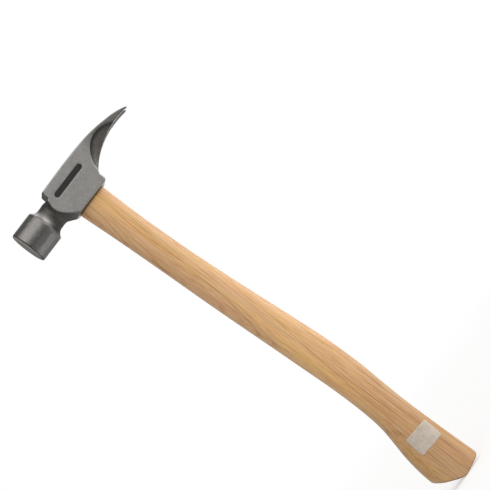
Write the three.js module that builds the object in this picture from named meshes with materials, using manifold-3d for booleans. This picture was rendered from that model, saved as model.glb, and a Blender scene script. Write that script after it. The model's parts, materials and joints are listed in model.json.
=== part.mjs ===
// Framing hammer with a straight rip claw, on a curved hickory handle.
//
// Frame: origin at the centre of the striking face. +X runs from the face towards the claw, +Z towards the
// top of the head, and the handle hangs down along -Z. The hammer is mirror-symmetric about Y = 0.
// All sizes are in millimetres.
import * as THREE from 'three';
import { mergeVertices } from 'three/addons/utils/BufferGeometryUtils.js';
import Module from 'manifold-3d';

const wasm = await Module();
wasm.setup();

// Clearance between pieces that are fitted together.
const GAP = 0.3;

// How far a cutting or trimming solid runs past the surfaces it cuts.
const OVERCUT = 5;

// A height above everything on the head.
const ABOVE_HEAD_Z = 30;

// Striking drum and the waist behind it.
const DRUM_R = 18.1;
const DRUM_END_X = 26.5;
const FACE_FLAT_R = 10;
const FACE_CROWN_R = 17.2;
const FACE_CROWN_DROP = 0.5;
const FACE_BEVEL = 0.7;
const NECK_R = 13.2;
const WAIST_FILLET_R = 9;
const NECK_SPLIT_X = 36;

// Cheek block: the flat-sided body that holds the eye.
const HEAD_HALF_WIDTH = 15.7;
const CHEEK_BOTTOM_Z = -19.5;
const CHEEK_BACK_X = 92.5;
const CHEEK_CORNER_R = 3;
const HEEL_Z = -11.2;

// Top of the head in the side view, from the neck to the claw's tip: [x, z].
const TOP_EDGE = [[33, 18.8], [46, 19.35], [62, 19.7], [82, 19.95], [103.2, 19.4], [120, 17.8], [136.3, 14.4],
  [147.5, 11.1], [158.4, 6]];

// How the round neck opens out into the cheek block: where each side starts to open, how fast it opens,
// and the length over which it bends from straight to sloping.
const FLARE_START_X = 33;
const FLARE_END_X = 80;
const FLARE_SIDE = { radius: 13.2, from: 39.7, slope: 0.97, bend: 2 };
const FLARE_TOP = { radius: 13.3, from: 40.1, slope: 1.5, bend: 1 };
const FLARE_BOTTOM = { radius: 13.2, from: 41.6, slope: 0.8, bend: 1 };
const FLARE_SQUARE_FROM_X = 40;
const FLARE_SQUARE_TO_X = 46;
const FLARE_ROUNDNESS = 2.15;
const FLARE_CROWDING = 1.3;

// Rip claw.
const CLAW_TIP_X = 158.4;
const CLAW_INNER_R = 82;
const CLAW_INNER_CENTRE_X = 143;
const CLAW_INNER_CENTRE_Z = -74.9;
const CLAW_TAPER_X = 112;
const CLAW_TIP_HALF_WIDTH = 14.3;
const PRONG_NOSE_LENGTH = 4.5;
const PRONG_NOSE_BULGE = 0.8;
const PRONG_END_MARGIN = 2;
const SLOT_ROOT_X = 113;
const SLOT_ROOT_HALF = 1.1;
const SLOT_TIP_HALF = 5;
const SLOT_FLANK_SPREAD = 1.6;
const SLOT_SPREAD_FROM_Z = 4;
const SLOT_HIGH_Z = 24;
const SLOT_LOW_Z = -14;

// Scoop hollowed into each side of the claw: part of an ellipsoid.
const SCOOP_CENTRE_X = 122.2;
const SCOOP_CENTRE_Z = -21.4;
const SCOOP_LONG_R = 37;
const SCOOP_SHORT_R = 30.4;
const SCOOP_DEPTH_R = 9.5;
const SCOOP_OUTSET = 1.6;
const SCOOP_TILT = 95 * Math.PI / 180;

// Nail starter: a notch across the neck, a groove along the drum's top and a magnet in the notch's floor.
const NOTCH_FRONT_X = 40.4;
const NOTCH_WALL_X = 46.3;
const NOTCH_FLOOR_Z = 11;
const NOTCH_FILLET = 1.1;
const NOTCH_RUNOUT = 6;
const NOTCH_RUNOUT_RISE = 2.2;
const NAIL_GROOVE_R = 2.4;
const NAIL_GROOVE_CENTRE_Z = 17.9;
const NAIL_GROOVE_END_X = 30;
const MAGNET_R = 2.5;
const MAGNET_HEIGHT = 3;
const MAGNET_X = 43;
const MAGNET_TOP_Z = 11.1;

// Eye and the tenon that fills it. The eye is wider at the top, so the wedged tenon can't pull out, and its
// lower mouth is bevelled around the handle's shoulder.
const EYE_X = 70;
const EYE_BOTTOM = { z: -20, long: 15.4, short: 9.2 };
const EYE_TOP = { z: 21, long: 16.6, short: 10.2 };
const EYE_ROUNDNESS = 2.4;
const EYE_MOUTH_BEVEL = 2.3;
const EYE_MOUTH_DEPTH = 1.4;
const TENON_TOP_Z = 19.4;

// Wedges in the top of the tenon.
const WOOD_WEDGE_DEPTH = 30;
const WOOD_WEDGE_TOP_HALF = 2.1;
const WOOD_WEDGE_TOE_HALF = 0.5;
const STEEL_WEDGE_DEPTH = 16;
const STEEL_WEDGE_HALF_SPAN = 6;
const STEEL_WEDGE_TOP_HALF = 1.1;
const STEEL_WEDGE_TOE_HALF = 0.25;
const STEEL_WEDGE_OFFSET = 7.5;
const WEDGE_OVERHANG = 4;

// Handle below the head. Each station gives the height, the front edge and the back edge in the side view,
// and half of the thickness.
const HANDLE_STATIONS = [
  { z: -19.9, front: 53.4, back: 86.6, half: 11.2 },
  { z: -60, front: 55.4, back: 85.8, half: 11.0 },
  { z: -110, front: 57.0, back: 86.8, half: 11.1 },
  { z: -165, front: 58.4, back: 89.8, half: 11.7 },
  { z: -220, front: 60.5, back: 93.8, half: 12.4 },
  { z: -265, front: 62.2, back: 96.7, half: 12.7 },
  { z: -300, front: 63.3, back: 97.0, half: 12.5 },
  { z: -330, front: 62.9, back: 95.5, half: 12.2 },
  { z: -352, front: 61.0, back: 94.5, half: 12.3 },
  { z: -370, front: 56.9, back: 94.3, half: 12.7 },
  { z: -388, front: 52.3, back: 94.4, half: 13.2 },
  { z: -410, front: 49.0, back: 94.6, half: 13.6 },
  { z: -430, front: 48.5, back: 95.0, half: 13.7 },
  { z: -450, front: 48.5, back: 95.4, half: 13.7 },
];
const HANDLE_ROUNDNESS = 2.5;

// Foot of the handle in the side view, from back to front: the back corner, a bend in the end, a gentler bend
// in the slanted front part and the front corner. Each one bends from its start to its end around the point
// where its two edges would meet.
const FOOT_BENDS = [
  { start: [97, -430.5], around: [94.6, -435.8], end: [90, -436.6] },
  { start: [73.6, -438.8], around: [70.4, -439.4], end: [67.2, -437.2] },
  { start: [59, -430.8], around: [55.8, -428.3], end: [52.4, -424.2] },
  { start: [50.8, -422.3], around: [48.9, -420], end: [47.6, -416.2] },
];
const FOOT_TRIM_TOP_Z = 10;
const FOOT_TRIM_FRONT = [30, -380];
const FOOT_TRIM_BACK_X = 120;
const FOOT_TRIM_HALF_WIDTH = 30;

// Label stuck on the handle's side near the foot.
const LABEL_CENTRE_X = 75.4;
const LABEL_CENTRE_Z = -387.8;
const LABEL_LENGTH = 26.6;
const LABEL_HEIGHT = 20.7;
const LABEL_CORNER_R = 2.2;
const LABEL_THICKNESS = 0.3;
const LABEL_REACH = 40;
const LABEL_CORNER_STEPS = 6;
const LABEL_TILT = -5.4 * Math.PI / 180;

// How finely round shapes are divided.
const ROUND_STEPS = 88;
const CROWN_STEPS = 4;
const FILLET_STEPS = 9;
const FLARE_STEPS = 24;
const TOP_EDGE_STEPS = 40;
const SCOOP_STEPS = 56;
const SLOT_ROOT_STEPS = 8;
const MAGNET_STEPS = 32;
const HANDLE_STEPS = 44;
const HANDLE_RINGS = 52;
const CURVE_STEPS = 20;

// ---- Helpers ----------------------------------------------------------------------------------------

// Turns a closed three.js geometry into a solid for boolean work.
function solid(geometry) {
  const bare = geometry.clone();
  bare.deleteAttribute('normal');
  bare.deleteAttribute('uv');
  const merged = mergeVertices(bare, 1e-4);
  const triVerts = new Uint32Array(merged.index.array);
  const vertProperties = new Float32Array(merged.attributes.position.array);
  return new wasm.Manifold(new wasm.Mesh({ numProp: 3, vertProperties, triVerts }));
}

// Turns a solid back into a three.js geometry.
function geometryOf(body) {
  const mesh = body.getMesh();
  const geometry = new THREE.BufferGeometry();
  geometry.setAttribute('position', new THREE.BufferAttribute(new Float32Array(mesh.vertProperties), 3));
  geometry.setIndex(new THREE.BufferAttribute(new Uint32Array(mesh.triVerts), 1));
  geometry.computeVertexNormals();
  return geometry;
}

// Skins a stack of rings that hold the same number of points, and closes both ends.
function loft(rings) {
  const count = rings[0].length;
  const positions = rings.flat().flatMap((p) => [p.x, p.y, p.z]);
  const index = [];
  for (let r = 0; r < rings.length - 1; r += 1) {
    for (let i = 0; i < count; i += 1) {
      const a = r * count + i;
      const b = r * count + (i + 1) % count;
      index.push(a, b, b + count, a, b + count, a + count);
    }
  }
  const last = (rings.length - 1) * count;
  for (let i = 1; i < count - 1; i += 1) {
    index.push(0, i + 1, i);
    index.push(last, last + i, last + i + 1);
  }
  const geometry = new THREE.BufferGeometry();
  geometry.setAttribute('position', new THREE.Float32BufferAttribute(positions, 3));
  geometry.setIndex(index);
  return geometry;
}

// A shape drawn in X and Z, thickened by halfWidth to both sides of Y = 0.
function slab(shape, halfWidth) {
  const geometry = new THREE.ExtrudeGeometry(shape, {
    depth: 2 * halfWidth, bevelEnabled: false, curveSegments: CURVE_STEPS,
  });
  geometry.rotateX(Math.PI / 2);
  geometry.translate(0, halfWidth, 0);
  return geometry;
}

// A shape drawn in X and Y, raised from lowZ to highZ.
function column(shape, lowZ, highZ) {
  const geometry = new THREE.ExtrudeGeometry(shape, {
    depth: highZ - lowZ, bevelEnabled: false, curveSegments: CURVE_STEPS,
  });
  geometry.translate(0, 0, lowZ);
  return geometry;
}

function boxBetween(low, high) {
  const size = new THREE.Vector3().subVectors(high, low);
  const geometry = new THREE.BoxGeometry(size.x, size.y, size.z);
  geometry.translate(low.x + size.x / 2, low.y + size.y / 2, low.z + size.z / 2);
  return geometry;
}

// One coordinate of a rounded-rectangle-like oval: power 2 is an ellipse, higher powers are squarer.
function ovalCoordinate(value, power) {
  return Math.sign(value) * Math.abs(value) ** (2 / power);
}

function horizontalOval(centreX, halfX, halfY, z, power, steps) {
  const ring = [];
  for (let i = 0; i < steps; i += 1) {
    const angle = 2 * Math.PI * i / steps;
    const x = centreX + halfX * ovalCoordinate(Math.cos(angle), power);
    const y = halfY * ovalCoordinate(Math.sin(angle), power);
    ring.push(new THREE.Vector3(x, y, z));
  }
  return ring;
}

// ---- Head -------------------------------------------------------------------------------------------

function drumProfile() {
  const points = [new THREE.Vector2(0, 0), new THREE.Vector2(FACE_FLAT_R, 0)];
  for (let i = 1; i <= CROWN_STEPS; i += 1) {
    const part = i / CROWN_STEPS;
    const radius = FACE_FLAT_R + part * (FACE_CROWN_R - FACE_FLAT_R);
    points.push(new THREE.Vector2(radius, FACE_CROWN_DROP * part ** 2));
  }
  points.push(new THREE.Vector2(DRUM_R, FACE_CROWN_DROP + FACE_BEVEL));
  const centreRadius = NECK_R + WAIST_FILLET_R;
  const reach = Math.sqrt(WAIST_FILLET_R ** 2 - (centreRadius - DRUM_R) ** 2);
  const startAngle = Math.atan2(centreRadius - DRUM_R, reach);
  for (let i = 0; i <= FILLET_STEPS; i += 1) {
    const angle = startAngle + (Math.PI / 2 - startAngle) * i / FILLET_STEPS;
    const radius = centreRadius - WAIST_FILLET_R * Math.sin(angle);
    points.push(new THREE.Vector2(radius, DRUM_END_X + reach - WAIST_FILLET_R * Math.cos(angle)));
  }
  points.push(new THREE.Vector2(NECK_R, NECK_SPLIT_X), new THREE.Vector2(0, NECK_SPLIT_X));
  return points;
}

function drum() {
  const geometry = new THREE.LatheGeometry(drumProfile(), ROUND_STEPS);
  geometry.rotateZ(-Math.PI / 2);
  return solid(geometry);
}

// Distance from the drum's axis to the flare's surface at x.
function flareReach(side, x) {
  const past = x - side.from;
  return side.radius + side.slope * (past + Math.hypot(past, side.bend)) / 2;
}

// The neck is round, and the section turns into a rounded square as it meets the cheek block.
function flare() {
  const rings = [];
  for (let r = 0; r <= FLARE_STEPS; r += 1) {
    const x = FLARE_START_X + (FLARE_END_X - FLARE_START_X) * (r / FLARE_STEPS) ** FLARE_CROWDING;
    const up = flareReach(FLARE_TOP, x);
    const down = flareReach(FLARE_BOTTOM, x);
    const across = flareReach(FLARE_SIDE, x);
    const squareness = THREE.MathUtils.smoothstep(x, FLARE_SQUARE_FROM_X, FLARE_SQUARE_TO_X);
    const power = 2 + (FLARE_ROUNDNESS - 2) * squareness;
    const ring = [];
    for (let i = 0; i < ROUND_STEPS; i += 1) {
      const angle = 2 * Math.PI * i / ROUND_STEPS;
      const y = across * ovalCoordinate(Math.cos(angle), power);
      const z = (up - down) / 2 + (up + down) / 2 * ovalCoordinate(Math.sin(angle), power);
      ring.push(new THREE.Vector3(x, y, z));
    }
    rings.push(ring);
  }
  rings.push(rings[FLARE_STEPS].map((p) => new THREE.Vector3(CLAW_TIP_X + OVERCUT, p.y, p.z)));
  return solid(loft(rings));
}

// Side outline of the cheek block and the claw.
function sideOutline() {
  const topEdge = new THREE.SplineCurve(TOP_EDGE.map(([x, z]) => new THREE.Vector2(x, z)));
  const innerStart = Math.asin((CLAW_TIP_X - CLAW_INNER_CENTRE_X) / CLAW_INNER_R);
  const innerEnd = Math.asin((CHEEK_BACK_X + 1 - CLAW_INNER_CENTRE_X) / CLAW_INNER_R);
  const points = topEdge.getPoints(TOP_EDGE_STEPS);
  for (let i = 0; i <= CURVE_STEPS; i += 1) {
    const angle = innerStart + (innerEnd - innerStart) * i / CURVE_STEPS;
    const x = CLAW_INNER_CENTRE_X + CLAW_INNER_R * Math.sin(angle);
    const z = CLAW_INNER_CENTRE_Z + CLAW_INNER_R * Math.cos(angle);
    points.push(new THREE.Vector2(x, z));
  }
  const shape = new THREE.Shape(points);
  shape.lineTo(CHEEK_BACK_X, HEEL_Z);
  shape.lineTo(CHEEK_BACK_X, CHEEK_BOTTOM_Z + CHEEK_CORNER_R);
  shape.quadraticCurveTo(CHEEK_BACK_X, CHEEK_BOTTOM_Z, CHEEK_BACK_X - CHEEK_CORNER_R, CHEEK_BOTTOM_Z);
  shape.lineTo(FLARE_START_X, CHEEK_BOTTOM_Z);
  return shape;
}

// Outline from above: straight cheeks, then a slight taper to two rounded prong ends.
function topOutline() {
  const noseX = CLAW_TIP_X - PRONG_NOSE_LENGTH;
  const shape = new THREE.Shape();
  shape.moveTo(FLARE_START_X, -HEAD_HALF_WIDTH);
  shape.lineTo(CLAW_TAPER_X, -HEAD_HALF_WIDTH);
  shape.lineTo(noseX, -CLAW_TIP_HALF_WIDTH);
  const bulgeY = CLAW_TIP_HALF_WIDTH - PRONG_NOSE_BULGE;
  const endY = SLOT_TIP_HALF + PRONG_END_MARGIN;
  shape.quadraticCurveTo(CLAW_TIP_X, -bulgeY, CLAW_TIP_X, -endY);
  shape.lineTo(CLAW_TIP_X, endY);
  shape.quadraticCurveTo(CLAW_TIP_X, bulgeY, noseX, CLAW_TIP_HALF_WIDTH);
  shape.lineTo(CLAW_TAPER_X, HEAD_HALF_WIDTH);
  shape.lineTo(FLARE_START_X, HEAD_HALF_WIDTH);
  return shape;
}

// Tapering nail slot between the prongs. Its flanks lean outwards towards the top.
function nailSlot() {
  const endX = CLAW_TIP_X + OVERCUT;
  const levels = [
    { z: SLOT_LOW_Z, spread: 0 },
    { z: SLOT_SPREAD_FROM_Z, spread: 0 },
    { z: SLOT_HIGH_Z, spread: SLOT_FLANK_SPREAD },
  ];
  const rings = levels.map(({ z, spread }) => {
    const ring = [];
    const rootR = SLOT_ROOT_HALF + spread;
    for (let i = 0; i <= SLOT_ROOT_STEPS; i += 1) {
      const angle = Math.PI / 2 + Math.PI * i / SLOT_ROOT_STEPS;
      ring.push(new THREE.Vector3(SLOT_ROOT_X + rootR * Math.cos(angle), rootR * Math.sin(angle), z));
    }
    ring.push(new THREE.Vector3(endX, -SLOT_TIP_HALF - spread, z));
    ring.push(new THREE.Vector3(endX, SLOT_TIP_HALF + spread, z));
    return ring;
  });
  return solid(loft(rings));
}

function scoop(side) {
  const geometry = new THREE.SphereGeometry(1, SCOOP_STEPS, SCOOP_STEPS / 2);
  geometry.scale(SCOOP_LONG_R, SCOOP_DEPTH_R, SCOOP_SHORT_R);
  geometry.rotateY(-SCOOP_TILT);
  geometry.translate(SCOOP_CENTRE_X, side * (HEAD_HALF_WIDTH + SCOOP_OUTSET), SCOOP_CENTRE_Z);
  return solid(geometry);
}

function eyeOval(level, grow) {
  return horizontalOval(EYE_X, level.long + grow, level.short + grow, level.z, EYE_ROUNDNESS, HANDLE_STEPS);
}

function eyeSolid(grow) {
  return solid(loft([eyeOval(EYE_BOTTOM, grow), eyeOval(EYE_TOP, grow)]));
}

// Bevelled lower mouth of the eye.
function eyeMouth() {
  const ring = (grow, z) => eyeOval({ z, long: EYE_BOTTOM.long, short: EYE_BOTTOM.short }, grow);
  return solid(loft([
    ring(EYE_MOUTH_BEVEL, CHEEK_BOTTOM_Z - OVERCUT),
    ring(EYE_MOUTH_BEVEL, CHEEK_BOTTOM_Z),
    ring(0, CHEEK_BOTTOM_Z + EYE_MOUTH_DEPTH),
  ]));
}

// The notch runs right across the head. Its floor dips from the neck to the foot of the upright wall.
function notch() {
  const shape = new THREE.Shape();
  shape.moveTo(NOTCH_FRONT_X - NOTCH_RUNOUT, NECK_R + NOTCH_RUNOUT_RISE);
  shape.lineTo(NOTCH_FRONT_X, NECK_R);
  shape.lineTo(NOTCH_WALL_X - NOTCH_FILLET, NOTCH_FLOOR_Z);
  shape.quadraticCurveTo(NOTCH_WALL_X, NOTCH_FLOOR_Z, NOTCH_WALL_X, NOTCH_FLOOR_Z + NOTCH_FILLET);
  shape.lineTo(NOTCH_WALL_X, ABOVE_HEAD_Z);
  shape.lineTo(NOTCH_FRONT_X - NOTCH_RUNOUT, ABOVE_HEAD_Z);
  return solid(slab(shape, HEAD_HALF_WIDTH + OVERCUT));
}

function nailGroove() {
  const length = NAIL_GROOVE_END_X + OVERCUT;
  const geometry = new THREE.CylinderGeometry(NAIL_GROOVE_R, NAIL_GROOVE_R, length, MAGNET_STEPS);
  geometry.rotateZ(Math.PI / 2);
  geometry.translate(NAIL_GROOVE_END_X - length / 2, 0, NAIL_GROOVE_CENTRE_Z);
  return solid(geometry);
}

function uprightCylinder(radius, lowZ, highZ) {
  const geometry = new THREE.CylinderGeometry(radius, radius, highZ - lowZ, MAGNET_STEPS);
  geometry.rotateX(Math.PI / 2);
  geometry.translate(MAGNET_X, 0, (lowZ + highZ) / 2);
  return solid(geometry);
}

function magnet() {
  return uprightCylinder(MAGNET_R, MAGNET_TOP_Z - MAGNET_HEIGHT, MAGNET_TOP_Z);
}

// Blind pocket for the magnet, open at the notch's floor.
function magnetPocket() {
  return uprightCylinder(MAGNET_R + GAP, MAGNET_TOP_Z - MAGNET_HEIGHT - GAP, DRUM_R);
}

function head() {
  const block = solid(slab(sideOutline(), HEAD_HALF_WIDTH))
    .intersect(solid(column(topOutline(), CHEEK_BOTTOM_Z - OVERCUT, ABOVE_HEAD_Z)))
    .intersect(flare());
  return block
    .add(drum())
    .subtract(nailSlot())
    .subtract(scoop(1))
    .subtract(scoop(-1))
    .subtract(notch())
    .subtract(nailGroove())
    .subtract(magnetPocket())
    .subtract(eyeSolid(0))
    .subtract(eyeMouth());
}

// ---- Handle and wedges ------------------------------------------------------------------------------

// The handle's outside below the head, grown outwards by the given amount.
function handleBody(grow) {
  const edges = {};
  for (const edge of ['front', 'back', 'half']) {
    edges[edge] = new THREE.SplineCurve(HANDLE_STATIONS.map((s) => new THREE.Vector2(s[edge], s.z)));
  }
  const rings = [];
  for (let i = HANDLE_RINGS; i >= 0; i -= 1) {
    const front = edges.front.getPoint(i / HANDLE_RINGS);
    const back = edges.back.getPoint(i / HANDLE_RINGS);
    const half = edges.half.getPoint(i / HANDLE_RINGS);
    const centre = (front.x + back.x) / 2;
    const halfX = (back.x - front.x) / 2 + grow;
    rings.push(horizontalOval(centre, halfX, half.x + grow, front.y, HANDLE_ROUNDNESS, HANDLE_STEPS));
  }
  return solid(loft(rings));
}

// Side outline that trims the foot.
function footTrim() {
  const shape = new THREE.Shape();
  shape.moveTo(FOOT_TRIM_FRONT[0], FOOT_TRIM_TOP_Z);
  shape.lineTo(FOOT_TRIM_BACK_X, FOOT_TRIM_TOP_Z);
  shape.lineTo(FOOT_TRIM_BACK_X, FOOT_BENDS[0].start[1]);
  for (const { start, around, end } of FOOT_BENDS) {
    shape.lineTo(...start);
    shape.quadraticCurveTo(...around, ...end);
  }
  shape.lineTo(...FOOT_TRIM_FRONT);
  return solid(slab(shape, FOOT_TRIM_HALF_WIDTH));
}

function woodWedgeBlank(grow) {
  const top = TENON_TOP_Z + (grow > 0 ? OVERCUT : 0);
  const toe = TENON_TOP_Z - WOOD_WEDGE_DEPTH - grow;
  const rise = (WOOD_WEDGE_TOP_HALF - WOOD_WEDGE_TOE_HALF) / WOOD_WEDGE_DEPTH;
  const topHalf = WOOD_WEDGE_TOP_HALF + grow + rise * (top - TENON_TOP_Z);
  const toeHalf = WOOD_WEDGE_TOE_HALF + grow;
  const reach = EYE_TOP.long + WEDGE_OVERHANG;
  const rectangle = (half, z) => [
    new THREE.Vector3(EYE_X - reach, -half, z),
    new THREE.Vector3(EYE_X + reach, -half, z),
    new THREE.Vector3(EYE_X + reach, half, z),
    new THREE.Vector3(EYE_X - reach, half, z),
  ];
  return solid(loft([rectangle(toeHalf, toe), rectangle(topHalf, top)]));
}

function steelWedge(offset, grow) {
  const top = TENON_TOP_Z + (grow > 0 ? OVERCUT : 0);
  const toe = TENON_TOP_Z - STEEL_WEDGE_DEPTH - grow;
  const span = STEEL_WEDGE_HALF_SPAN + grow;
  const rectangle = (half, z) => [
    new THREE.Vector3(EYE_X + offset - half, -span, z),
    new THREE.Vector3(EYE_X + offset + half, -span, z),
    new THREE.Vector3(EYE_X + offset + half, span, z),
    new THREE.Vector3(EYE_X + offset - half, span, z),
  ];
  return solid(loft([
    rectangle(STEEL_WEDGE_TOE_HALF + grow, toe),
    rectangle(STEEL_WEDGE_TOP_HALF + grow, top),
  ]));
}

// Everything around the eye, up to the height where the tenon is cut off.
function belowTenonTop() {
  const reach = EYE_TOP.long + OVERCUT;
  const low = new THREE.Vector3(EYE_X - reach, -reach, EYE_BOTTOM.z - OVERCUT);
  const high = new THREE.Vector3(EYE_X + reach, reach, TENON_TOP_Z);
  return solid(boxBetween(low, high));
}

function handle() {
  const tenon = eyeSolid(-GAP).intersect(belowTenonTop());
  return handleBody(0)
    .intersect(footTrim())
    .add(tenon)
    .subtract(woodWedgeBlank(GAP))
    .subtract(steelWedge(-STEEL_WEDGE_OFFSET, GAP))
    .subtract(steelWedge(STEEL_WEDGE_OFFSET, GAP));
}

function woodWedge() {
  return woodWedgeBlank(0)
    .intersect(eyeSolid(-GAP))
    .subtract(steelWedge(-STEEL_WEDGE_OFFSET, GAP))
    .subtract(steelWedge(STEEL_WEDGE_OFFSET, GAP));
}

// ---- Label ------------------------------------------------------------------------------------------

function labelOutline() {
  const x = LABEL_LENGTH / 2;
  const y = LABEL_HEIGHT / 2;
  const r = LABEL_CORNER_R;
  const shape = new THREE.Shape();
  shape.moveTo(-x + r, -y);
  shape.lineTo(x - r, -y);
  shape.absarc(x - r, -y + r, r, -Math.PI / 2, 0);
  shape.absarc(x - r, y - r, r, 0, Math.PI / 2);
  shape.absarc(-x + r, y - r, r, Math.PI / 2, Math.PI);
  shape.absarc(-x + r, -y + r, r, Math.PI, 1.5 * Math.PI);
  return shape;
}

function gripLabel() {
  const prism = new THREE.ExtrudeGeometry(labelOutline(), {
    depth: LABEL_REACH, bevelEnabled: false, curveSegments: LABEL_CORNER_STEPS,
  });
  prism.rotateZ(LABEL_TILT);
  prism.rotateX(Math.PI / 2);
  prism.translate(LABEL_CENTRE_X, 0, LABEL_CENTRE_Z);
  return handleBody(GAP + LABEL_THICKNESS).subtract(handleBody(GAP)).intersect(solid(prism));
}

// ---- Assembly ---------------------------------------------------------------------------------------

const titanium = new THREE.MeshStandardMaterial({ color: 0x8a8783, roughness: 0.45, metalness: 0.9 });
const hickory = new THREE.MeshStandardMaterial({ color: 0xc79f6c, roughness: 0.5, metalness: 0 });
const maple = new THREE.MeshStandardMaterial({ color: 0xb98f5f, roughness: 0.6, metalness: 0 });
const wedgeSteel = new THREE.MeshStandardMaterial({ color: 0x6f6c68, roughness: 0.5, metalness: 0.9 });
const magnetNickel = new THREE.MeshStandardMaterial({ color: 0xa8a8a6, roughness: 0.3, metalness: 1 });
const labelFoil = new THREE.MeshStandardMaterial({ color: 0xbdae9b, roughness: 0.5, metalness: 0.2 });

function part(name, body, material) {
  const mesh = new THREE.Mesh(geometryOf(body), material);
  mesh.name = name;
  return mesh;
}

const hammer = new THREE.Group();
hammer.name = 'claw_hammer';
hammer.add(
  part('head', head(), titanium),
  part('nail_magnet', magnet(), magnetNickel),
  part('handle', handle(), hickory),
  part('wood_wedge', woodWedge(), maple),
  part('steel_wedge_front', steelWedge(-STEEL_WEDGE_OFFSET, 0), wedgeSteel),
  part('steel_wedge_rear', steelWedge(STEEL_WEDGE_OFFSET, 0), wedgeSteel),
  part('grip_label', gripLabel(), labelFoil),
);

export default hammer;
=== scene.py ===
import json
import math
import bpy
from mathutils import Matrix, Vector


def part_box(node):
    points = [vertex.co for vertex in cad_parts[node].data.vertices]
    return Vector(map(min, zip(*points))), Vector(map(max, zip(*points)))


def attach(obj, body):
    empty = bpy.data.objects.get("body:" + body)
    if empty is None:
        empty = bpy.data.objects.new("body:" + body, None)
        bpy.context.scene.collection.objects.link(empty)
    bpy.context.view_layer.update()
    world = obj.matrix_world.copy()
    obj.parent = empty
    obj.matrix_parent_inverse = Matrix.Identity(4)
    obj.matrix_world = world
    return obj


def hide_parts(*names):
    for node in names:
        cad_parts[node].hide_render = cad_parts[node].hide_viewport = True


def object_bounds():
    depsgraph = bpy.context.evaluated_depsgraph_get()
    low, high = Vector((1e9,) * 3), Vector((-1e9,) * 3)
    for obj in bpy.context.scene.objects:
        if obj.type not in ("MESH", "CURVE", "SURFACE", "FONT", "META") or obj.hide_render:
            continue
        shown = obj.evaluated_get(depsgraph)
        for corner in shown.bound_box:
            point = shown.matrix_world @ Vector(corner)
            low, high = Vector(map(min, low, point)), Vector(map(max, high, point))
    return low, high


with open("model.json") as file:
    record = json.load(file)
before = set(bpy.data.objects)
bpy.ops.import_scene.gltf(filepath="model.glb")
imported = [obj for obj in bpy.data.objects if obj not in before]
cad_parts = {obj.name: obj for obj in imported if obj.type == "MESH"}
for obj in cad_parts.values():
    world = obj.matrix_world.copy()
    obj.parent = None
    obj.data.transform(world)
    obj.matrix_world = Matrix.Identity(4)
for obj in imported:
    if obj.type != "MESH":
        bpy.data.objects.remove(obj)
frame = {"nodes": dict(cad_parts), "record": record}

# Looks of the framing hammer: rounded head and handle, wedges, magnet and label, their materials, a pale
# floor, studio light and the camera. Lengths are in metres; shader patterns work in millimetres.
from types import SimpleNamespace

import bpy
import numpy as np
import openvdb as vdb
from mathutils import Matrix, Vector
from mathutils.bvhtree import BVHTree

MM = 0.001
cad_low, cad_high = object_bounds()

# ---- Sizes, worked out from the frame ---------------------------------------------------------------

HEAD_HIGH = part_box("head")[1]
HANDLE_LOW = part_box("handle")[0]
LABEL_LOW, LABEL_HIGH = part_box("grip_label")
MOUNTS = {mount["name"]: Vector(mount["pos_m"]) for mount in frame["record"]["mounts"]}
EYE_X = MOUNTS["cheek_near"].x
CHEEK_Y = abs(MOUNTS["cheek_near"].y)

# Radii of the head's rounded edges and hollows, which get smaller along the claw.
HEAD_EDGE_R = 0.4 * MM
CLAW_TIP_EDGE_R = 0.12 * MM
HEAD_HOLLOW_R = 0.7 * MM
CLAW_THINS_FROM_X = 115 * MM

# Radii of the handle's rounded edges, and how far up the foot's larger one is used.
TENON_EDGE_R = 0.3 * MM
FOOT_EDGE_R = 0.6 * MM
FOOT_HEIGHT = 45 * MM
FOOT_FROM_Z = HANDLE_LOW.z + FOOT_HEIGHT
FOOT_BLEND = 10 * MM

# The grids that do the rounding, and the smoothing that takes their steps out.
HEAD_VOXEL = 0.32 * MM
HEAD_MESH_VOXEL = 0.52 * MM
HANDLE_VOXEL = 0.5 * MM
HANDLE_MESH_VOXEL = 0.78 * MM
BAND_VOXELS = 3
LARGEST_MOVE = 3 * MM
RELAX_FACTOR = 0.5
HEAD_RELAX_REPEATS = 4
HANDLE_RELAX_REPEATS = 6

# Plain etched bar on the near cheek.
MARK_CENTRE_X = EYE_X
MARK_CENTRE_Z = 7 * MM
MARK_HALF_LENGTH = 19 * MM
MARK_HALF_HEIGHT = 2.9 * MM
MARK_DEPTH = 0.18 * MM
CHEEK_SURFACE_DEPTH = 0.1 * MM


# ---- Rounded solids ---------------------------------------------------------------------------------

def surface_of(node):
    """Corner points and triangles of a CAD node."""
    mesh = frame["nodes"][node].data
    mesh.calc_loop_triangles()
    points = np.empty(len(mesh.vertices) * 3, np.float32)
    mesh.vertices.foreach_get("co", points)
    triangles = np.empty(len(mesh.loop_triangles) * 3, np.int32)
    mesh.loop_triangles.foreach_get("vertices", triangles)
    return points.reshape(-1, 3), triangles.reshape(-1, 3)


def level_set(surface, voxel, reach):
    """Signed distance to a closed surface, on a grid, to this reach on both sides."""
    points, faces = surface
    corners = {3: "triangles", 4: "quads"}[faces.shape[1]]
    transform = vdb.createLinearTransform(voxelSize=voxel)
    band = reach / voxel + BAND_VOXELS
    return vdb.FloatGrid.createLevelSetFromPolygons(
        points=points, transform=transform, halfWidth=band, **{corners: faces}
    )


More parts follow.
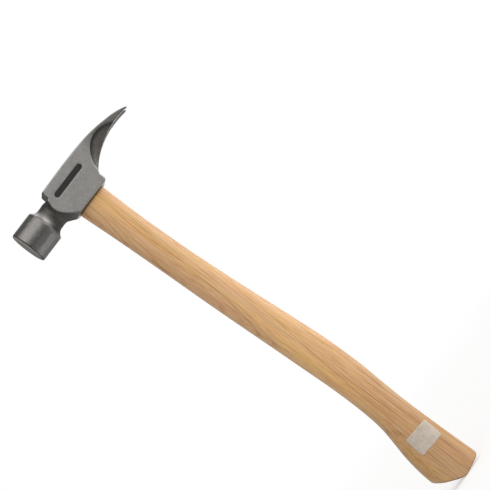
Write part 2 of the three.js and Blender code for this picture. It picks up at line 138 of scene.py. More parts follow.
def moved_surface(surface, voxel, distance_at):
    """The surface moved outwards by distance_at(x, z), which may be negative."""
    grid = level_set(surface, voxel, LARGEST_MOVE)
    low, high = (np.array(c) for c in grid.evalActiveVoxelBoundingBox())
    field = np.empty(high - low + 1, np.float32)
    grid.copyToArray(field, ijk=tuple(int(c) for c in low))
    x = (np.arange(low[0], high[0] + 1) * voxel)[:, None, None]
    z = (np.arange(low[2], high[2] + 1) * voxel)[None, None, :]
    field -= distance_at(x, z)
    moved = vdb.FloatGrid(LARGEST_MOVE)
    moved.transform = vdb.createLinearTransform(voxelSize=voxel)
    moved.copyFromArray(field, ijk=tuple(int(c) for c in low))
    points, _, quads = moved.convertToPolygons(isovalue=0)
    return points, quads


def rounded_surface(node, voxel, mesh_voxel, edge_radius, hollow_radius):
    """A CAD node with its edges rounded by a rolling ball, remeshed in even squares."""
    surface = surface_of(node)
    surface = moved_surface(surface, voxel, hollow_radius)
    surface = moved_surface(surface, voxel, lambda x, z: -hollow_radius(x, z) - edge_radius(x, z))
    surface = moved_surface(surface, voxel, edge_radius)
    return moved_surface(surface, mesh_voxel, no_radius)


def smoothstep(low, high, value):
    t = np.clip((value - low) / (high - low), 0, 1)
    return t * t * (3 - 2 * t)


def mesh_object(name, points, faces):
    """A smooth-shaded object whose faces point outwards."""
    a, b, c = (points[faces[:, i]].astype(np.float64) for i in range(3))
    if np.einsum("ij,ij->", a, np.cross(b, c)) < 0:
        faces = faces[:, ::-1]
    mesh = bpy.data.meshes.new(name)
    mesh.from_pydata(points.tolist(), [], faces.tolist())
    mesh.shade_smooth()
    obj = bpy.data.objects.new(name, mesh)
    bpy.context.scene.collection.objects.link(obj)
    return obj


def relax(obj, repeats):
    """Takes the small steps of the grid out of the surface."""
    modifier = obj.modifiers.new("relax", "SMOOTH")
    modifier.factor = RELAX_FACTOR
    modifier.iterations = repeats


def head_edge_radius(x, z):
    thinning = smoothstep(CLAW_THINS_FROM_X, HEAD_HIGH.x, x)
    return HEAD_EDGE_R + (CLAW_TIP_EDGE_R - HEAD_EDGE_R) * thinning


def head_hollow_radius(x, z):
    return HEAD_HOLLOW_R * (1 - smoothstep(CLAW_THINS_FROM_X, HEAD_HIGH.x, x))


def handle_edge_radius(x, z):
    foot = 1 - smoothstep(FOOT_FROM_Z, FOOT_FROM_Z + FOOT_BLEND, z)
    return TENON_EDGE_R + (FOOT_EDGE_R - TENON_EDGE_R) * foot


def no_radius(x, z):
    return 0 * z


def etch(points):
    """Sinks the plain bar into the near cheek."""
    past_end = np.maximum(np.abs(points[:, 0] - MARK_CENTRE_X) - MARK_HALF_LENGTH + MARK_HALF_HEIGHT, 0)
    from_bar = np.hypot(past_end, points[:, 2] - MARK_CENTRE_Z) - MARK_HALF_HEIGHT
    inside = (from_bar < 0) & (points[:, 1] < -CHEEK_Y + CHEEK_SURFACE_DEPTH)
    points[inside, 1] += MARK_DEPTH
    return points


def make_head():
    points, quads = rounded_surface(
        "head", HEAD_VOXEL, HEAD_MESH_VOXEL, head_edge_radius, head_hollow_radius
    )
    head = mesh_object("hammer_head", etch(points), quads)
    relax(head, HEAD_RELAX_REPEATS)
    return head


def make_handle():
    points, quads = rounded_surface(
        "handle", HANDLE_VOXEL, HANDLE_MESH_VOXEL, handle_edge_radius, no_radius
    )
    handle = mesh_object("handle_grip", points, quads)
    relax(handle, HANDLE_RELAX_REPEATS)
    return handle


# ---- Shader helpers ---------------------------------------------------------------------------------

class Shader:
    """A material's node tree, with a short call for each kind of node used here."""

    def __init__(self, name):
        self.material = bpy.data.materials.new(name)
        self.material.use_nodes = True
        self.tree = self.material.node_tree
        self.tree.nodes.clear()

    @classmethod
    def of_tree(cls, tree):
        made = cls.__new__(cls)
        made.tree = tree
        tree.nodes.clear()
        return made

    def node(self, kind, inputs=None, **settings):
        made = self.tree.nodes.new("ShaderNode" + kind)
        for name, value in settings.items():
            setattr(made, name, value)
        for key, value in (inputs or {}).items():
            self.feed(made.inputs[key], value)
        return made

    def feed(self, socket, value):
        if isinstance(value, bpy.types.NodeSocket):
            self.tree.links.new(value, socket)
        else:
            socket.default_value = value

    def position(self):
        """The place on the object in millimetres, as a vector."""
        place = self.node("TexCoord").outputs["Object"]
        return self.node("VectorMath", {0: place, "Scale": 1 / MM}, operation="SCALE").outputs[0]

    def split(self, vector):
        return self.node("SeparateXYZ", {0: vector}).outputs

    def math(self, operation, a, b=0.0):
        return self.node("Math", {0: a, 1: b}, operation=operation).outputs[0]

    def fade(self, value, low, high, to_low=0.0, to_high=1.0):
        """Smooth change from to_low at value low to to_high at value high."""
        return self.node(
            "MapRange",
            {"Value": value, "From Min": low, "From Max": high, "To Min": to_low, "To Max": to_high},
            interpolation_type="SMOOTHSTEP",
        ).outputs["Result"]

    def fade_out(self, value, low, high):
        """Smooth change from 1 at value low to 0 at value high."""
        return self.math("SUBTRACT", 1, self.fade(value, low, high))

    def times(self, *factors):
        """The product of all factors."""
        product = factors[0]
        for factor in factors[1:]:
            product = self.math("MULTIPLY", product, factor)
        return product

    def between(self, value, starts, ends):
        """1 between the span where it starts and the span where it ends, 0 outside them."""
        return self.times(self.fade(value, *starts), self.fade_out(value, *ends))

    def distance(self, a, b):
        """Length of the hypotenuse over a and b."""
        return self.math("SQRT", self.math("ADD", self.math("POWER", a, 2), self.math("POWER", b, 2)))

    def noise(self, vector, scale, detail=2.0, roughness=0.5, distortion=0.0):
        """Noise around 0.5. The scale is in repeats per unit of the vector."""
        inputs = {
            "Vector": vector, "Scale": scale, "Detail": detail, "Roughness": roughness,
            "Distortion": distortion,
        }
        return self.node("TexNoise", inputs).outputs["Fac"]

    def stretched(self, vector, x, y, z):
        """The position multiplied along each axis, for patterns that run along an axis."""
        return self.node("VectorMath", {0: vector, 1: (x, y, z)}, operation="MULTIPLY").outputs[0]

    def mix(self, factor, a, b):
        made = self.node("Mix", {"Factor": factor}, data_type="RGBA")
        self.feed(made.inputs["A"], a)
        self.feed(made.inputs["B"], b)
        return made.outputs["Result"]

    def mix_value(self, factor, a, b):
        made = self.node("Mix", {0: factor}, data_type="FLOAT")
        self.feed(made.inputs[2], a)
        self.feed(made.inputs[3], b)
        return made.outputs[0]

    def tint(self, colour, factor, shade):
        """Multiplies a colour by a shade, by the factor's share."""
        made = self.node("Mix", {"Factor": factor}, data_type="RGBA", blend_type="MULTIPLY")
        self.feed(made.inputs["A"], colour)
        self.feed(made.inputs["B"], shade)
        return made.outputs["Result"]

    def bump(self, height, distance, strength):
        return self.node("Bump", {"Height": height, "Distance": distance, "Strength": strength}).outputs[0]

    def finish(self, **inputs):
        """Ends the tree in a surface with these Principled inputs."""
        named = {key.replace("_", " "): value for key, value in inputs.items()}
        surface = self.node("BsdfPrincipled", named)
        self.node("OutputMaterial", {"Surface": surface.outputs[0]})
        return self.material


def grey(value, warmth=0.0):
    """A grey, made warmer (or cooler below 0)."""
    return (value * (1 + warmth), value, value * (1 - warmth), 1)


# ---- Materials --------------------------------------------------------------------------------------

# Stretches of the head along X, in mm, over which one finish, painted highlight or painted shade gives way
# to the next.
FACE_ENDS = (0.35, 0.6)
RIM_STARTS = (0.5, 0.75)
RIM_ENDS = (1.3, 1.9)
RUST_ENDS = (1.0, 7.0)
DRUM_ENDS = (22.5, 25.5)
# The waist's painted highlight, and the painted shade below it.
WAIST_STARTS = (26.5, 28)
WAIST_ENDS = (28.5, 33)
WAIST_SHADE_STARTS = (26.5, 29)
WAIST_SHADE_ENDS = (33, 38)
# The neck's painted shade.
NECK_STARTS = (31, 36)
NECK_ENDS = (46, 60)
MATT_NECK_STARTS = (25, 30)
MATT_NECK_ENDS = (44, 50)
CHEEK_STARTS = (39, 40)
SCOOP_STARTS = (94, 97)
# Painted shade on the claw's ground sides grows over this stretch towards the tip.
CLAW_DARKENS = (96, 126)

# Other places on the head, in mm: how deep below the cheek's plane something lies, and how high it lies.
CLAW_TAPER_FROM_X = 112
CLAW_TAPER_SLOPE = 0.0359
GROUND_DEPTH = (-0.42, -0.22)
SCOOP_RIM_DEPTH = (-4.0, -0.8)
UNDERSIDE_Z = (-10, 4)
# Height and reach of the painted reflection band low on the drum's sides.
REFLECTION_BAND_Z = -12.6
REFLECTION_BAND_REACH = (0.5, 4.5)
MARK_EDGE_INSIDE = 0.2
MARK_EDGE_OUTSIDE = 0.1
MARK_SIDE_DEPTH = 1

# How far a surface has to face sideways to be a scoop, and downwards to be the claw's inner curve.
FACING_SIDEWAYS = (0.5, 0.7)
FACING_DOWN = (-0.7, -0.4)

GRIND_LEAN = math.radians(-15)
METAL_RELIEF = 0.03 * MM

# Greys of the metal, from dark to light where there are two. A tint multiplies the colour under it.
CHEEK_GREYS = (grey(0.315, 0.02), grey(0.45, 0.025))
SKIN_GREYS = (grey(0.19, 0.03), grey(0.26, 0.03))
FACE_GREYS = (grey(0.36, 0.06), grey(0.50, 0.05))
# Painted reflection: the bright band low on the drum's sides.
PAINTED_REFLECTION_GREY = grey(0.36, -0.01)
# Painted highlight on the waist next to the drum.
WAIST_HIGHLIGHT_GREY = grey(0.57, 0.02)
MARK_GREY = grey(0.022, 0.02)
CLOUD_TINT = grey(0.82, 0.01)
# Painted shade on the claw's ground sides towards the tip.
CLAW_SHADE_TINT = grey(0.50, 0.01)
GRIT_TINT = grey(0.75)
STAIN_TINT = (0.93, 0.78, 0.72, 1)
# Painted shade on the drum's underside.
DRUM_UNDERSIDE_SHADE_TINT = grey(0.74)
# Painted shade below the waist.
WAIST_UNDERSIDE_SHADE_TINT = grey(0.5)
# Painted shade all round the neck.
NECK_SHADE_TINT = grey(0.42, 0.03)
# Painted shade in the scoops, darkest just inside their rims.
SCOOP_SHADE_TINT = grey(0.70, 0.03)
SCOOP_RIM_SHADE_TINT = grey(0.24, 0.03)
# Painted shade on the claw's downward-facing inner curve.
INNER_CURVE_SHADE_TINT = grey(0.6, 0.02)
RUST_TINT = (0.75, 0.52, 0.38, 1)
RIM_TINT = grey(0.35)


def titanium():
    """Cast titanium: ground cheeks with fine scratches, a mottled matt skin elsewhere, a face with wear."""
    s = Shader("titanium")
    head = head_patterns(s)
    colour = s.mix(head.ground, skin_colour(s, head), ground_colour(s, head))
    face_colour = s.mix(s.fade(head.mottle, 0.35, 0.7), *FACE_GREYS)
    colour = s.mix(head.face, colour, face_colour)
    colour = s.tint(colour, rust_spots(s, head), RUST_TINT)
    colour = s.tint(colour, s.times(s.between(head.x, RIM_STARTS, RIM_ENDS), 0.6), RIM_TINT)
    colour = s.mix(head.mark, colour, MARK_GREY)
    skin_relief = s.math("ADD", s.times(head.mottle, 0.6), s.times(head.grit, 0.35))
    relief = s.mix_value(head.ground, skin_relief, head.lines)
    return s.finish(
        Base_Color=colour, Metallic=s.mix_value(head.mark, 1.0, 0.2), Roughness=head_roughness(s, head),
        Normal=s.bump(relief, METAL_RELIEF, 0.5), Specular_IOR_Level=0.5,
    )


def head_patterns(s):
    """The places, masks and patterns that the head's colours, roughness and relief share."""
    place = s.position()
    x, y, z = s.split(place)[:3]

    # The claw's sides taper inwards, and the grinding follows them.
    taper = s.times(s.math("MAXIMUM", s.math("SUBTRACT", x, CLAW_TAPER_FROM_X), 0), CLAW_TAPER_SLOPE)
    depth = s.math("SUBTRACT", s.math("ADD", s.math("ABSOLUTE", y), taper), CHEEK_Y / MM)

    # Short grinding marks run up and down the cheek and lean a little.
    leaning = s.node(
        "VectorRotate", {"Vector": place, "Angle": GRIND_LEAN}, rotation_type="Y_AXIS"
    ).outputs[0]
    scratches = s.noise(s.stretched(leaning, 1, 1, 0.14), 1.9, detail=3, roughness=0.65, distortion=0.1)
    fine_scratches = s.noise(s.stretched(leaning, 1, 1, 0.05), 4.5, detail=3, roughness=0.6)
    return SimpleNamespace(
        place=place, x=x, z=z, depth=depth,
        ground=s.times(s.fade(depth, *GROUND_DEPTH), s.fade(x, *CHEEK_STARTS)),
        face=s.fade_out(x, *FACE_ENDS),
        underside=s.fade_out(z, *UNDERSIDE_Z),
        mark=bar_mask(s, x, y, z),
        lines=s.math("ADD", s.times(scratches, 0.6), s.times(fine_scratches, 0.4)),
        mottle=s.noise(place, 0.42, detail=5, roughness=0.62, distortion=0.2),
        grit=s.noise(place, 1.6, detail=3, roughness=0.6),
    )


def ground_colour(s, head):
    """Colour of the ground cheeks and claw sides, with painted shade darker towards the claw's tip."""
    cloud = s.noise(head.place, 0.07, detail=3, roughness=0.55, distortion=0.6)
    colour = s.mix(s.fade(head.lines, 0.34, 0.66), *CHEEK_GREYS)
    colour = s.tint(colour, s.fade(cloud, 0.42, 0.62, 0, 0.3), CLOUD_TINT)
    # Painted shade, darker towards the claw's tip.
    return s.tint(colour, s.fade(head.x, *CLAW_DARKENS), CLAW_SHADE_TINT)


def skin_colour(s, head):
    """Colour of the cast skin everywhere that isn't ground, with painted shade, highlights and a reflection
    added.
    """
    colour = s.mix(s.fade(head.mottle, 0.3, 0.7), *SKIN_GREYS)
    colour = s.tint(colour, s.fade(head.grit, 0.4, 0.75, 0, 0.4), GRIT_TINT)
    stain = s.noise(head.place, 0.11, detail=4, roughness=0.6, distortion=0.4)
    colour = s.tint(colour, s.fade(stain, 0.52, 0.74, 0, 0.4), STAIN_TINT)
    colour = with_drum_tones(s, head, colour)
    colour = with_waist_and_neck_tones(s, head, colour)
    return with_claw_tones(s, head, colour)


def with_drum_tones(s, head, colour):
    """Paints shade on the drum's underside, and a painted reflection: a bright, mottled band low on each
    side.
    """
    on_drum = s.fade_out(head.x, *DRUM_ENDS)
    from_band = s.math("ABSOLUTE", s.math("SUBTRACT", head.z, REFLECTION_BAND_Z))
    in_band = s.fade_out(from_band, *REFLECTION_BAND_REACH)
    # Painted reflection: a bright, mottled band low on each side of the drum.
    reflection_band = s.times(on_drum, in_band, s.fade(head.mottle, 0.25, 0.7, 0.5, 0.85))
    # Painted shade on the drum's underside.
    colour = s.tint(colour, s.times(on_drum, head.underside), DRUM_UNDERSIDE_SHADE_TINT)
    return s.mix(reflection_band, colour, PAINTED_REFLECTION_GREY)


def with_waist_and_neck_tones(s, head, colour):
    """Painted highlight on the waist next to the drum, painted shade below it, and painted shade all round
    the neck.
    """
    upper_side = s.math("SUBTRACT", 1, head.underside)
    # Painted highlight on the waist's upper side next to the drum.
    bright_waist = s.times(s.between(head.x, WAIST_STARTS, WAIST_ENDS), upper_side)
    colour = s.mix(s.times(bright_waist, 0.7), colour, WAIST_HIGHLIGHT_GREY)
    # Painted shade below the waist.
    under_waist = s.times(s.between(head.x, WAIST_SHADE_STARTS, WAIST_SHADE_ENDS), head.underside)
    colour = s.tint(colour, under_waist, WAIST_UNDERSIDE_SHADE_TINT)
    # Painted shade all round the neck.
    return s.tint(colour, s.times(s.between(head.x, NECK_STARTS, NECK_ENDS), 0.85), NECK_SHADE_TINT)


def with_claw_tones(s, head, colour):
    """Painted shade in the scoops, darkest just inside their rims, and on the claw's downward-facing inner
    curve.
    """
    normal = s.split(s.node("NewGeometry").outputs["Normal"])
    behind_cheek = s.fade(head.x, *SCOOP_STARTS)
    in_scoop = s.times(s.fade(s.math("ABSOLUTE", normal[1]), *FACING_SIDEWAYS), behind_cheek)
    by_rim = s.times(in_scoop, s.fade(head.depth, *SCOOP_RIM_DEPTH, 0, 0.8))
    inner_curve = s.times(s.fade_out(normal[2], *FACING_DOWN), behind_cheek)
    # Painted shade in the scoops and just inside their rims.
    colour = s.tint(colour, in_scoop, SCOOP_SHADE_TINT)
    colour = s.tint(colour, by_rim, SCOOP_RIM_SHADE_TINT)
    # Painted shade on the claw's downward-facing inner curve.
    return s.tint(colour, inner_curve, INNER_CURVE_SHADE_TINT)


def rust_spots(s, head):
    """Share of rust in a few spots next to the striking face."""
    spots = s.noise(head.place, 0.45, detail=4, roughness=0.65, distortion=0.8)
    return s.times(s.fade_out(head.x, *RUST_ENDS), s.fade(spots, 0.52, 0.68), 0.6)


def head_roughness(s, head):
    """Smoother on the ground cheeks and the face, rougher on the neck and in the bar."""
    skin = s.fade(head.mottle, 0.3, 0.7, 0.32, 0.42)
    roughness = s.mix_value(head.ground, skin, s.fade(head.lines, 0.35, 0.65, 0.36, 0.5))
    not_ground = s.math("SUBTRACT", 1, head.ground)
    matt_neck = s.times(s.between(head.x, MATT_NECK_STARTS, MATT_NECK_ENDS), not_ground)
    roughness = s.mix_value(matt_neck, roughness, 0.56)
    roughness = s.mix_value(head.face, roughness, 0.3)
    return s.mix_value(head.mark, roughness, 0.75)


def bar_mask(s, x, y, z):
    """1 inside the plain etched bar on the near cheek."""
    half_length = MARK_HALF_LENGTH / MM
    half_height = MARK_HALF_HEIGHT / MM
    from_centre = s.math("ABSOLUTE", s.math("SUBTRACT", x, MARK_CENTRE_X / MM))
    past_end = s.math("MAXIMUM", s.math("SUBTRACT", from_centre, half_length - half_height), 0)
    away = s.distance(past_end, s.math("SUBTRACT", z, MARK_CENTRE_Z / MM))
    inside = s.fade_out(away, half_height - MARK_EDGE_INSIDE, half_height + MARK_EDGE_OUTSIDE)
    return s.times(inside, s.math("LESS_THAN", y, -CHEEK_Y / MM + MARK_SIDE_DEPTH))


# Growth rings of the handle, in mm: the axis they run round at the foot, how far it leans per mm upwards,
# the spacing, and how far the rings wander and ripple.
RING_AXIS = (118, 34)
RING_AXIS_LEAN = (0.05, 0.04)
RING_SPACING = 1.9
RING_WANDER = 12
RING_RIPPLE = 1.5

# Heights above the foot, in mm: the wood is darker up to the first, and less and less from there
# to the second.
FOOT_DARKENING_HEIGHTS = (30, 190)

# How far a surface has to face downwards to be the foot's end grain.
FACING_FOOT = (-0.75, -0.35)

WOOD_RELIEF = 0.08 * MM

# Colours of the wood. A tint multiplies the colour under it.
WOOD_YELLOW = (0.75, 0.47, 0.205, 1)
WOOD_TAN = (0.675, 0.435, 0.235, 1)
LATE_WOOD = (0.50, 0.28, 0.12, 1)
PINK_TINT = (1.0, 0.90, 0.95, 1)
STRAW_TINT = (0.95, 0.97, 0.82, 1)
FIBRE_TINT = (0.76, 0.64, 0.54, 1)
GRAIN_TINT = (0.84, 0.72, 0.60, 1)
LINE_TINT = (0.72, 0.56, 0.46, 1)
PORE_TINT = (0.62, 0.47, 0.36, 1)
STREAK_TINT = (0.62, 0.47, 0.37, 1)
FOOT_DARKENING_TINT = (0.72, 0.70, 0.68, 1)
END_GRAIN_TINT = (0.42, 0.33, 0.27, 1)


def hickory():
    """Lacquered hickory: growth rings cut at a slant, pores, long brown lines and a darker sanded end."""
    s = Shader("hickory")
    place = s.position()
    above_foot = s.math("SUBTRACT", s.split(place)[2], HANDLE_LOW.z / MM)
    phase, late_wood = growth_rings(s, place, above_foot)
    fibre = along_grain(s, place, 0.03, 1.6, detail=4, roughness=0.65)
    pores = s.fade(s.noise(s.stretched(place, 3.2, 3.2, 0.12), 1.0, detail=3, roughness=0.6), 0.58, 0.70)
    pores = s.times(pores, s.fade(phase, 0.3, 1.0, 0.3, 1.0))

    colour = s.mix(s.times(late_wood, 0.75), wood_base(s, place), LATE_WOOD)
    colour = s.tint(colour, s.fade(fibre, 0.45, 0.72, 0, 0.6), FIBRE_TINT)
    colour = with_long_grain(s, place, colour)
    colour = s.tint(colour, s.times(pores, 0.6), PORE_TINT)
    streak = s.fade(along_grain(s, place, 0.012, 0.55, detail=3), 0.60, 0.70)
    colour = s.tint(colour, s.times(streak, 0.75), STREAK_TINT)
    colour = s.tint(colour, s.fade_out(above_foot, *FOOT_DARKENING_HEIGHTS), FOOT_DARKENING_TINT)
    facing_up = s.split(s.node("NewGeometry").outputs["Normal"])[2]
    end_grain = s.times(s.fade_out(facing_up, *FACING_FOOT), 0.8)
    colour = s.tint(colour, end_grain, END_GRAIN_TINT)

    relief = s.math("SUBTRACT", s.times(fibre, 0.35), s.times(pores, 0.8))
    return s.finish(
        Base_Color=colour, Roughness=s.fade(fibre, 0.3, 0.7, 0.44, 0.56),
        Normal=s.bump(relief, WOOD_RELIEF, 0.5), Specular_IOR_Level=0.35,
        Coat_Weight=0.12, Coat_Roughness=0.3,
    )


def along_grain(s, place, squeeze, scale, detail=2.0, roughness=0.5):
    """Noise drawn out along the handle. The smaller the squeeze, the longer its marks."""
    return s.noise(s.stretched(place, 1, 1, squeeze), scale, detail, roughness)


def growth_rings(s, place, above_foot):
    """How far through its ring each place is, and how much dark late wood it has."""
    x, y = s.split(place)[:2]
    axis_x = s.math("ADD", RING_AXIS[0], s.times(above_foot, RING_AXIS_LEAN[0]))
    axis_y = s.math("ADD", RING_AXIS[1], s.times(above_foot, RING_AXIS_LEAN[1]))
    radius = s.distance(s.math("SUBTRACT", x, axis_x), s.math("SUBTRACT", y, axis_y))
    wander = along_grain(s, place, 0.16, 0.030, detail=3)
    ripple = along_grain(s, place, 0.06, 0.20)
    radius = s.math("ADD", radius, s.times(s.math("SUBTRACT", wander, 0.5), RING_WANDER))
    radius = s.math("ADD", radius, s.times(s.math("SUBTRACT", ripple, 0.5), RING_RIPPLE))
    rings = s.math("DIVIDE", radius, RING_SPACING)
    phase = s.math("FRACT", rings)
    darkness = s.node("TexWhiteNoise", {"W": s.math("FLOOR", rings)}, noise_dimensions="1D").outputs["Value"]
    late_wood = s.times(s.fade(phase, 0.35, 0.9), s.fade_out(phase, 0.92, 1.0))
    return phase, s.times(late_wood, s.fade(darkness, 0.0, 1.0, 0.15, 1.0))


def wood_base(s, place):
    """The wood's main colour, with broad yellow, pink and straw changes along the grain."""
    broad = along_grain(s, place, 0.05, 0.10, detail=3, roughness=0.55)
    blush = along_grain(s, place, 0.03, 0.34, detail=3, roughness=0.6)
    colour = s.mix(s.fade(broad, 0.35, 0.65), WOOD_YELLOW, WOOD_TAN)
    colour = s.tint(colour, s.fade(blush, 0.5, 0.68), PINK_TINT)
    return s.tint(colour, s.fade_out(blush, 0.32, 0.48), STRAW_TINT)


def with_long_grain(s, place, colour):
    """Adds soft brown grain and a few narrow, long lines to the wood's colour."""
    grain = along_grain(s, place, 0.022, 0.75, detail=3, roughness=0.7)
    colour = s.tint(colour, s.fade(grain, 0.47, 0.66, 0, 0.8), GRAIN_TINT)
    lines = along_grain(s, place, 0.010, 0.95, roughness=0.6)
    narrow = s.fade_out(s.math("ABSOLUTE", s.math("SUBTRACT", lines, 0.5)), 0.004, 0.03)
    strong = s.fade(along_grain(s, place, 0.04, 0.12), 0.42, 0.62)
    return s.tint(colour, s.times(narrow, strong), LINE_TINT)


# Colours of the small pieces, and how deep their surfaces are.
MAPLE_COLOURS = ((0.42, 0.25, 0.12, 1), (0.27, 0.15, 0.07, 1))
MAPLE_RELIEF = 0.06 * MM
WEDGE_GREYS = (grey(0.24, 0.02), grey(0.36, 0.02))
WEDGE_RUST_TINT = (0.62, 0.36, 0.22, 1)
WEDGE_RELIEF = 0.05 * MM
NICKEL_GREYS = (grey(0.58, 0.02), grey(0.70, 0.02))
NICKEL_RELIEF = 0.02 * MM
LABEL_COLOURS = ((0.475, 0.41, 0.34, 1), (0.57, 0.495, 0.42, 1))
LABEL_SPECKLE_TINT = (0.86, 0.84, 0.86, 1)
LABEL_RELIEF = 0.12 * MM


def maple():
    """End grain of the wood wedge: brown, with fine lines along it."""
    s = Shader("maple")
    place = s.position()
    lines = s.noise(s.stretched(place, 0.15, 3.0, 0.1), 1.2, detail=4, roughness=0.6)
    colour = s.mix(s.fade(lines, 0.3, 0.7), *MAPLE_COLOURS)
    return s.finish(Base_Color=colour, Roughness=0.62, Normal=s.bump(lines, MAPLE_RELIEF, 0.5))


def wedge_steel():
    """Stamped steel, dulled and lightly rusted."""
    s = Shader("wedge_steel")
    place = s.position()
    cloud = s.noise(place, 0.6, detail=4, roughness=0.6)
    rust = s.fade(s.noise(place, 0.9, detail=4, roughness=0.65), 0.5, 0.68, 0, 0.7)
    colour = s.tint(s.mix(s.fade(cloud, 0.3, 0.7), *WEDGE_GREYS), rust, WEDGE_RUST_TINT)
    return s.finish(
        Base_Color=colour, Metallic=0.9, Roughness=s.fade(cloud, 0.3, 0.7, 0.4, 0.6),
        Normal=s.bump(cloud, WEDGE_RELIEF, 0.5),
    )


def nickel():
    """Nickel plating of the magnet, with small scuffs."""
    s = Shader("nickel")
    place = s.position()
    scuffs = s.noise(s.stretched(place, 1, 4, 1), 1.4, detail=4, roughness=0.65)
    colour = s.mix(s.fade(scuffs, 0.35, 0.65), *NICKEL_GREYS)
    return s.finish(
        Base_Color=colour, Metallic=1.0, Roughness=s.fade(scuffs, 0.3, 0.7, 0.18, 0.34),
        Normal=s.bump(scuffs, NICKEL_RELIEF, 0.4),
    )


def label_film():
    """Satin foil film, blank, faintly clouded and uneven."""
    s = Shader("label_film")
    place = s.position()
    cloud = s.noise(place, 0.22, detail=4, roughness=0.6, distortion=0.5)
    speckle = s.noise(place, 1.5)
    colour = s.mix(s.fade(cloud, 0.3, 0.7), *LABEL_COLOURS)
    colour = s.tint(colour, s.fade(speckle, 0.5, 0.7, 0, 0.25), LABEL_SPECKLE_TINT)
    return s.finish(
        Base_Color=colour, Metallic=0.25, Roughness=s.fade(cloud, 0.3, 0.7, 0.36, 0.5),
        Normal=s.bump(cloud, LABEL_RELIEF, 0.5),
    )


def paint(obj, material):
    obj.data.materials.clear()
    obj.data.materials.append(material)


# ---- Camera, light and floor ------------------------------------------------------------------------

CAMERA_AIM = Vector((121.57, 0, -155.1)) * MM
CAMERA_DISTANCE = 2.4
CAMERA_AZIMUTH = math.radians(-9.8)
CAMERA_ELEVATION = math.radians(-1.2)
CAMERA_ROLL = math.radians(-53.48)
CAMERA_LENS = 194
SENSOR_WIDTH = 36

FLOOR_RADIUS = 1.6
FLOOR_SOLID_RADIUS = 0.25
FLOOR_CLEAR_RADIUS = 0.95 * FLOOR_RADIUS
FLOOR_GLOW = 0.55
FLOOR_GLOW_IN_METAL = 0.28
FLOOR_GREYS = (grey(0.44), grey(0.48))
FLOOR_SPECKLES_PER_METRE = 90
FLOOR_CORNERS = 96
FLOOR_GAP = 0.2 * MM


def direction(azimuth, elevation):
    """Unit vector towards a viewer: azimuth 0 is on the -Y side, 90 on the +X side."""
    flat = math.cos(elevation)
    return Vector((math.sin(azimuth) * flat, -math.cos(azimuth) * flat, math.sin(elevation)))


def add_camera():
    back = direction(CAMERA_AZIMUTH, CAMERA_ELEVATION)
    level_right = Vector((0, 0, 1)).cross(back).normalized()
    level_up = back.cross(level_right)
    right = math.cos(CAMERA_ROLL) * level_right + math.sin(CAMERA_ROLL) * level_up
    up = back.cross(right)
    place = CAMERA_AIM + back * CAMERA_DISTANCE
    data = bpy.data.cameras.new("camera")
    data.lens = CAMERA_LENS
    data.sensor_width = SENSOR_WIDTH
    camera = bpy.data.objects.new("camera", data)
    camera.matrix_world = Matrix((
        (right.x, up.x, back.x, place.x),
        (right.y, up.y, back.y, place.y),
        (right.z, up.z, back.z, place.z),
        (0, 0, 0, 1),
    ))
    bpy.context.scene.collection.objects.link(camera)
    bpy.context.scene.camera = camera


# Light tent round the object: a dim shell with broad glowing areas. Each area has an azimuth and an
# elevation, the angles from there at which it starts to fade and has faded out, all in degrees, and a glow.
TENT_BASE = 0.15
TENT_AREAS = {
    "key": (14, 50, 18, 46, 1.5),
    "front": (34, 0, 5, 44, 0.36),
    "front_left": (-58, -12, 8, 42, 0.22),
    "claw_side": (84, 4, 12, 38, 3.0),
    "rear_left": (226, 18, 8, 34, 0.8),
    "rear_right": (135, 24, 10, 40, 1.2),
    "behind": (170, -4, 5, 14, 1.6),
}

# Even light added for matt surfaces only, so that wood and floor stay bright while the metal reflects dark.
TENT_SOFT_LIGHT = 0.19
TENT_COLOUR = (1.0, 0.985, 0.965, 1)
BACKDROP_COLOUR = (1, 1, 1, 1)


def add_world():
    """White behind the object for the camera, a light tent for its light and reflections."""
    world = bpy.data.worlds.new("studio")
    world.use_nodes = True
    s = Shader.of_tree(world.node_tree)
    generated = s.node("TexCoord").outputs["Generated"]
    towards = s.node("VectorMath", {0: generated}, operation="NORMALIZE").outputs[0]
    glow = TENT_BASE
    for azimuth, elevation, inner, outer, strength in TENT_AREAS.values():
        centre = direction(math.radians(azimuth), math.radians(elevation))
        closeness = s.node("VectorMath", {0: towards, 1: centre}, operation="DOT_PRODUCT").outputs["Value"]
        area = s.fade(closeness, math.cos(math.radians(outer)), math.cos(math.radians(inner)), 0, strength)
        glow = s.math("ADD", area, glow)
    ray = s.node("LightPath").outputs
    soft = s.math("MULTIPLY", ray["Is Diffuse Ray"], TENT_SOFT_LIGHT)
    tent = s.node("Background", {"Color": TENT_COLOUR, "Strength": s.math("ADD", glow, soft)})
    backdrop = s.node("Background", {"Color": BACKDROP_COLOUR, "Strength": 1.0})
    both = s.node("MixShader", {0: ray["Is Camera Ray"], 1: tent.outputs[0], 2: backdrop.outputs[0]})
    s.node("OutputWorld", {"Surface": both.outputs[0]})
    bpy.context.scene.world = world


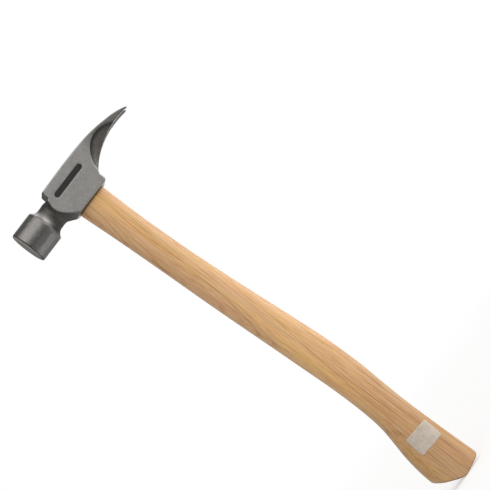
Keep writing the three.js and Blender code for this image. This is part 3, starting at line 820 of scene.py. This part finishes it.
def floor_material():
    """Pale floor that fades out towards the white surroundings."""
    s = Shader("pale_floor")
    place = s.node("TexCoord").outputs["Object"]
    x, y = s.split(place)[:2]
    shown = s.fade_out(s.distance(x, y), FLOOR_SOLID_RADIUS, FLOOR_CLEAR_RADIUS)
    speckle = s.noise(place, FLOOR_SPECKLES_PER_METRE, detail=3)
    colour = s.mix(speckle, *FLOOR_GREYS)
    diffuse = s.node("BsdfDiffuse", {"Color": colour})
    reflected = s.node("LightPath").outputs["Is Glossy Ray"]
    strength = s.mix_value(reflected, FLOOR_GLOW, FLOOR_GLOW_IN_METAL)
    glow = s.node("Emission", {"Color": grey(1.0), "Strength": strength})
    lit = s.node("AddShader", {0: diffuse.outputs[0], 1: glow.outputs[0]})
    clear = s.node("BsdfTransparent")
    mixed = s.node("MixShader", {0: shown, 1: clear.outputs[0], 2: lit.outputs[0]})
    s.node("OutputMaterial", {"Surface": mixed.outputs[0]})
    return s.material


def add_floor():
    centre = (cad_low + cad_high) / 2
    angles = [2 * math.pi * i / FLOOR_CORNERS for i in range(FLOOR_CORNERS)]
    points = [(FLOOR_RADIUS * math.cos(a), FLOOR_RADIUS * math.sin(a), 0) for a in angles]
    mesh = bpy.data.meshes.new("floor")
    mesh.from_pydata(points, [], [tuple(range(FLOOR_CORNERS))])
    floor = bpy.data.objects.new("floor", mesh)
    floor.location = (centre.x, centre.y, cad_low.z - FLOOR_GAP)
    bpy.context.scene.collection.objects.link(floor)
    paint(floor, floor_material())


def add_stage():
    scene = bpy.context.scene
    scene.view_settings.view_transform = "Standard"
    scene.view_settings.look = "None"
    add_world()
    add_floor()
    add_camera()


# ---- Assembly ---------------------------------------------------------------------------------------

# Size and place of the label's film on the handle.
LABEL_CORNER_R = 2.2 * MM
LABEL_TILT = math.radians(-5.4)
LABEL_SIZE = (26.6 * MM, 20.7 * MM)
LABEL_STEP = 0.5 * MM
LABEL_LIFT = 0.03 * MM
LABEL_THICKNESS = 0.16 * MM
LABEL_CAST_FROM = 100 * MM


def make_label(handle):
    """A thin film that follows the wood: a rounded rectangle laid on the handle's near side."""
    wood = BVHTree.FromObject(handle, bpy.context.evaluated_depsgraph_get())
    half_x, half_z = LABEL_SIZE[0] / 2, LABEL_SIZE[1] / 2
    count_x = round(LABEL_SIZE[0] / LABEL_STEP)
    count_z = round(LABEL_SIZE[1] / LABEL_STEP)
    points = []
    for i in range(count_x + 1):
        for j in range(count_z + 1):
            u = -half_x + 2 * half_x * i / count_x
            v = -half_z + 2 * half_z * j / count_z
            u, v = inside_rounded_corner(u, v, half_x, half_z, LABEL_CORNER_R)
            points.append(laid_on(wood, u, v))
    mesh = bpy.data.meshes.new("label")
    mesh.from_pydata(points, [], grid_faces(count_x, count_z))
    mesh.shade_smooth()
    label = bpy.data.objects.new("label_film", mesh)
    bpy.context.scene.collection.objects.link(label)
    thicken = label.modifiers.new("thickness", "SOLIDIFY")
    thicken.thickness = LABEL_THICKNESS
    thicken.offset = 1
    return label


def inside_rounded_corner(u, v, half_x, half_z, radius):
    """Pulls a point of a rectangle inwards, so that the outline gets round corners."""
    over_u = abs(u) - (half_x - radius)
    over_v = abs(v) - (half_z - radius)
    if over_u <= 0 or over_v <= 0:
        return u, v
    reach = math.hypot(over_u, over_v)
    share = max(over_u, over_v) / reach
    u = math.copysign(half_x - radius + over_u * share, u)
    v = math.copysign(half_z - radius + over_v * share, v)
    return u, v


def laid_on(wood, u, v):
    """The place just off the wood for a point of the label, given from the label's centre."""
    centre = (LABEL_LOW + LABEL_HIGH) / 2
    x = centre.x + u * math.cos(LABEL_TILT) - v * math.sin(LABEL_TILT)
    z = centre.z + u * math.sin(LABEL_TILT) + v * math.cos(LABEL_TILT)
    outside = Vector((x, HANDLE_LOW.y - LABEL_CAST_FROM, z))
    hit, normal, _, _ = wood.ray_cast(outside, Vector((0, 1, 0)))
    return hit + normal * LABEL_LIFT


def grid_faces(count_x, count_z):
    """The squares between the points of a grid, facing the near side."""
    faces = []
    for i in range(count_x):
        for j in range(count_z):
            corner = i * (count_z + 1) + j
            faces.append((corner, corner + count_z + 1, corner + count_z + 2, corner + 1))
    return faces


def main():
    metal = titanium()
    wood = hickory()
    head = make_head()
    handle = make_handle()
    label = make_label(handle)
    pieces = [
        (head, "head", "head_metal", metal),
        (handle, "handle", "handle_wood", wood),
        (label, "grip_label", "label_film", label_film()),
    ]
    for piece, node, slot, material in pieces:
        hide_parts(node)
        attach(piece, "root")
        paint(piece, material)
    shown_as_built = {
        "nail_magnet": nickel(),
        "wood_wedge": maple(),
        "steel_wedge_front": wedge_steel(),
        "steel_wedge_rear": wedge_steel(),
    }
    for node, material in shown_as_built.items():
        paint(frame["nodes"][node], material)
    add_stage()


main()
